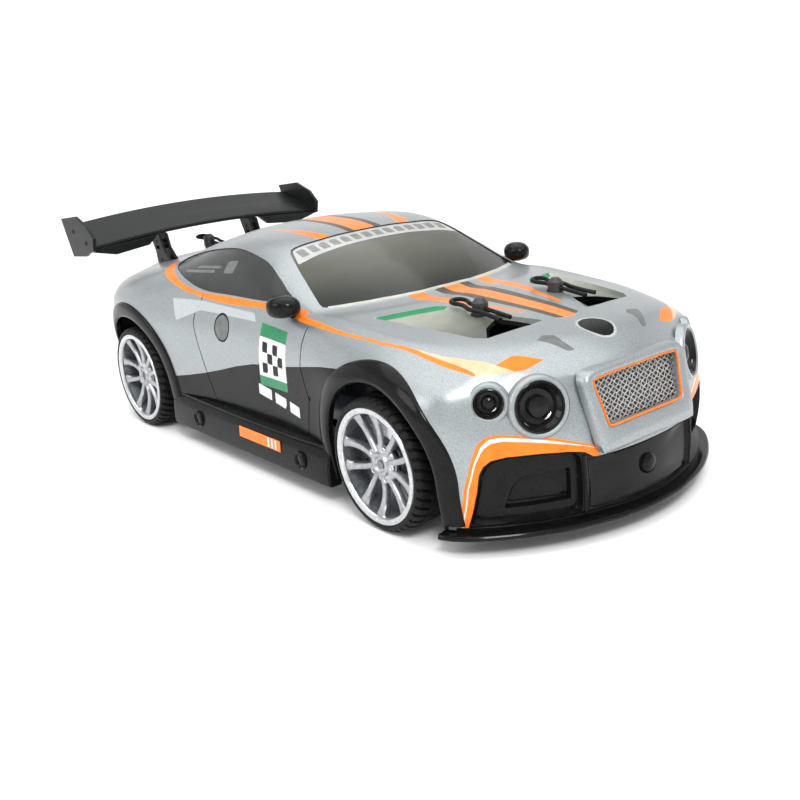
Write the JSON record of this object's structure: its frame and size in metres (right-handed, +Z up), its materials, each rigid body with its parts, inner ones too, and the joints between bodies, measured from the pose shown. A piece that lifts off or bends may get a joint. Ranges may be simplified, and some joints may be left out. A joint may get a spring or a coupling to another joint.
{
  "type": "rc drift car",
  "caption": "Small-scale drift car: silver coupe body with rear wing over a chassis with steering, sprung axles, geared drive and pull-off body clips.",
  "frame": {"origin": "centre of the bounding box at ground level, under the middle of the car", "axes": "-Y towards the car's nose, +X towards the car's left, +Z up"},
  "size_m": [0.132, 0.2983, 0.0912],
  "materials": {
    "chassis_black": "fine moulded texture",
    "anodised": "satin grey anodising",
    "steel": "ground",
    "servo_case": "moulded",
    "controller_case": "dark blue anodised heat sink",
    "battery_wrap": "heat-shrink film",
    "wire_insulation": "silicone, satin",
    "nylon_white": "moulded nylon",
    "switch_orange": "moulded",
    "arm_black": "fibre-filled, slightly grainy",
    "rim_silver": "plated, slightly satin",
    "tyre_rubber": "treaded rubber, dry",
    "damper_body": "satin",
    "spring_orange": "powder coat",
    "motor_can": "drawn can",
    "gear_brass": "cut teeth",
    "clip_black": "coated wire",
    "body_silver": "pale metallic paint with printed livery, glossy",
    "window_smoke": "smoked, glossy",
    "grille_mesh": "dark plated mesh",
    "lamp_black": "clear over black",
    "trim_black": "semi-gloss moulding",
    "trim_gloss": "glossy",
    "wing_black": "satin moulding"
  },
  "bodies": {
    "chassis": {"chassis_tub": "chassis_black", "front_bulkhead": "chassis_black", "front_shock_tower": "anodised", "front_hinge_pins": "steel", "front_body_posts": "chassis_black", "rear_body_post": "chassis_black", "rear_damper_tower": "anodised", "steering_servo": "servo_case", "electronics_box": "controller_case", "battery_pack": "battery_wrap", "battery_lead": "wire_insulation", "chassis_screws": "steel"},
    "servo_horn": {"servo_horn": "nylon_white"},
    "steering_bar": {"steering_bar": "steel"},
    "battery_strap": {"battery_strap": "chassis_black"},
    "power_switch": {"power_switch_knob": "switch_orange"},
    "lower_arm_left": {"lower_arm_left": "arm_black"},
    "upper_arm_left": {"upper_arm_left": "arm_black"},
    "c_hub_left": {"c_hub_left": "arm_black"},
    "knuckle_left": {"knuckle_left": "anodised"},
    "front_wheel_left": {"front_rim_left": "rim_silver", "front_tyre_left": "tyre_rubber"},
    "damper_left": {"damper_cylinder_left": "damper_body", "damper_spring_left": "spring_orange"},
    "damper_rod_left": {"damper_rod_left": "steel"},
    "lower_arm_right": {"lower_arm_right": "arm_black"},
    "upper_arm_right": {"upper_arm_right": "arm_black"},
    "c_hub_right": {"c_hub_right": "arm_black"},
    "knuckle_right": {"knuckle_right": "anodised"},
    "front_wheel_right": {"front_rim_right": "rim_silver", "front_tyre_right": "tyre_rubber"},
    "damper_right": {"damper_cylinder_right": "damper_body", "damper_spring_right": "spring_orange"},
    "damper_rod_right": {"damper_rod_right": "steel"},
    "rear_pod": {"rear_pod": "chassis_black", "drive_motor": "motor_can"},
    "pinion": {"pinion_gear": "gear_brass"},
    "rear_axle": {"rear_axle": "steel", "spur_gear": "nylon_white", "rear_rim_left": "rim_silver", "rear_rim_right": "rim_silver", "rear_tyre_left": "tyre_rubber", "rear_tyre_right": "tyre_rubber"},
    "rear_damper": {"rear_damper_cylinder": "damper_body", "rear_damper_spring": "spring_orange"},
    "rear_damper_rod": {"rear_damper_rod": "steel"},
    "clip_front_left": {"front_clip_left": "clip_black"},
    "clip_front_right": {"front_clip_right": "clip_black"},
    "clip_rear": {"rear_clip": "clip_black"},
    "shell": {"body_shell": "body_silver", "window_panels": "window_smoke", "grille": "grille_mesh", "headlights": "lamp_black", "front_bumper": "trim_black", "front_splitter": "trim_black", "side_skirts": "trim_black", "door_mirrors": "trim_gloss", "rear_wing": "wing_black", "wing_stands": "wing_black", "rear_diffuser": "trim_black"}
  },
  "joints": [
    {"name": "servo_horn_turn", "type": "hinge", "parent": "chassis", "child": "servo_horn", "pos_m": [0, -0.06, 0.025], "axis": [0, 0, 1], "range_deg": [-24, 24]},
    {"name": "steering_bar_slide", "type": "slide", "parent": "chassis", "child": "steering_bar", "axis": [1, 0, 0], "range_m": [-0.00535, 0.00535]},
    {"name": "suspension_left", "type": "hinge", "parent": "chassis", "child": "lower_arm_left", "pos_m": [0.014, -0.086, 0.014], "axis": [0, -1, 0], "range_deg": [-6, 6], "stiffness_Nm_per_rad": 0.5, "springref_deg": -2.86},
    {"name": "upper_arm_left_pivot", "type": "hinge", "parent": "chassis", "child": "upper_arm_left", "pos_m": [0.014, -0.086, 0.029], "axis": [0, -1, 0], "range_deg": [-6, 6]},
    {"name": "hub_left_pivot", "type": "hinge", "parent": "lower_arm_left", "child": "c_hub_left", "pos_m": [0.036, -0.086, 0.014], "axis": [0, -1, 0], "range_deg": [-6, 6]},
    {"name": "steering", "type": "hinge", "parent": "c_hub_left", "child": "knuckle_left", "pos_m": [0.045, -0.086, 0.0217], "axis": [0, 0, 1], "range_deg": [-24, 24]},
    {"name": "front_wheel_left_spin", "type": "hinge", "parent": "knuckle_left", "child": "front_wheel_left", "pos_m": [0.0553, -0.086, 0.0224], "axis": [1, 0, 0], "continuous": true},
    {"name": "damper_left_pivot", "type": "hinge", "parent": "chassis", "child": "damper_left", "pos_m": [0.02, -0.1035, 0.042], "axis": [0, -1, 0], "range_deg": [-0.8, 0.8]},
    {"name": "damper_left_stroke", "type": "slide", "parent": "damper_left", "child": "damper_rod_left", "axis": [-0.3651, 0, 0.931], "range_m": [-0.0017, 0.0017], "deforming": ["damper_spring_left"]},
    {"name": "suspension_right", "type": "hinge", "parent": "chassis", "child": "lower_arm_right", "pos_m": [-0.014, -0.086, 0.014], "axis": [0, 1, 0], "range_deg": [-6, 6], "stiffness_Nm_per_rad": 0.5, "springref_deg": -2.86},
    {"name": "upper_arm_right_pivot", "type": "hinge", "parent": "chassis", "child": "upper_arm_right", "pos_m": [-0.014, -0.086, 0.029], "axis": [0, 1, 0], "range_deg": [-6, 6]},
    {"name": "hub_right_pivot", "type": "hinge", "parent": "lower_arm_right", "child": "c_hub_right", "pos_m": [-0.036, -0.086, 0.014], "axis": [0, 1, 0], "range_deg": [-6, 6]},
    {"name": "kingpin_right", "type": "hinge", "parent": "c_hub_right", "child": "knuckle_right", "pos_m": [-0.045, -0.086, 0.0217], "axis": [0, 0, 1], "range_deg": [-24, 24]},
    {"name": "front_wheel_right_spin", "type": "hinge", "parent": "knuckle_right", "child": "front_wheel_right", "pos_m": [-0.0553, -0.086, 0.0224], "axis": [1, 0, 0], "continuous": true},
    {"name": "damper_right_pivot", "type": "hinge", "parent": "chassis", "child": "damper_right", "pos_m": [-0.02, -0.1035, 0.042], "axis": [0, 1, 0], "range_deg": [-0.8, 0.8]},
    {"name": "damper_right_stroke", "type": "slide", "parent": "damper_right", "child": "damper_rod_right", "axis": [0.3651, 0, 0.931], "range_m": [-0.0017, 0.0017], "deforming": ["damper_spring_right"]},
    {"name": "rear_pod_pivot", "type": "hinge", "parent": "chassis", "child": "rear_pod", "pos_m": [0, 0.058, 0.014], "axis": [1, 0, 0], "range_deg": [-4, 4], "stiffness_Nm_per_rad": 1.6, "springref_deg": -2.86},
    {"name": "rear_axle_spin", "type": "hinge", "parent": "rear_pod", "child": "rear_axle", "pos_m": [0, 0.086, 0.0224], "axis": [1, 0, 0], "continuous": true},
    {"name": "motor_spin", "type": "hinge", "parent": "rear_pod", "child": "pinion", "pos_m": [0, 0.10393, 0.024], "axis": [1, 0, 0], "continuous": true},
    {"name": "rear_damper_pivot", "type": "hinge", "parent": "chassis", "child": "rear_damper", "pos_m": [0, 0.048, 0.038], "axis": [1, 0, 0], "range_deg": [-2.6, 2.6]},
    {"name": "rear_damper_stroke", "type": "slide", "parent": "rear_damper", "child": "rear_damper_rod", "axis": [0, -0.9981, 0.0624], "range_m": [-0.00165, 0.00165], "deforming": ["rear_damper_spring"]},
    {"name": "battery_strap_hinge", "type": "hinge", "parent": "chassis", "child": "battery_strap", "pos_m": [-0.0374, 0, 0.0297], "axis": [0, -1, 0], "range_deg": [0, 95]},
    {"name": "power_switch_slide", "type": "slide", "parent": "chassis", "child": "power_switch", "axis": [0, 1, 0], "range_m": [0, 0.003]},
    {"name": "clip_front_left_pull", "type": "slide", "parent": "chassis", "child": "clip_front_left", "axis": [0, 0.9925, 0.1219], "range_m": [0, 0.019]},
    {"name": "clip_front_right_pull", "type": "slide", "parent": "chassis", "child": "clip_front_right", "axis": [0, 0.9925, 0.1219], "range_m": [0, 0.019]},
    {"name": "clip_rear_pull", "type": "slide", "parent": "chassis", "child": "clip_rear", "axis": [0, 0.9925, 0.1219], "range_m": [0, 0.019]},
    {"name": "shell_lift", "type": "slide", "parent": "chassis", "child": "shell", "axis": [0, 0, 1], "range_m": [0, 0.11]}
  ],
  "couplings": [
    {"joint": "servo_horn_turn", "follows": "steering", "ratio": -1},
    {"joint": "steering_bar_slide", "follows": "steering", "m_per_rad": -0.01275},
    {"joint": "upper_arm_left_pivot", "follows": "suspension_left", "ratio": 1},
    {"joint": "hub_left_pivot", "follows": "suspension_left", "ratio": -1},
    {"joint": "damper_left_pivot", "follows": "suspension_left", "ratio": 0.12829},
    {"joint": "damper_left_stroke", "follows": "suspension_left", "m_per_rad": 0.015808},
    {"joint": "upper_arm_right_pivot", "follows": "suspension_right", "ratio": 1},
    {"joint": "hub_right_pivot", "follows": "suspension_right", "ratio": -1},
    {"joint": "damper_right_pivot", "follows": "suspension_right", "ratio": 0.12829},
    {"joint": "damper_right_stroke", "follows": "suspension_right", "m_per_rad": 0.015808},
    {"joint": "kingpin_right", "follows": "steering", "ratio": 1},
    {"joint": "motor_spin", "follows": "rear_axle_spin", "ratio": -2.3333},
    {"joint": "rear_damper_pivot", "follows": "rear_pod_pivot", "ratio": 0.64202},
    {"joint": "rear_damper_stroke", "follows": "rear_pod_pivot", "m_per_rad": 0.023329}
  ]
}
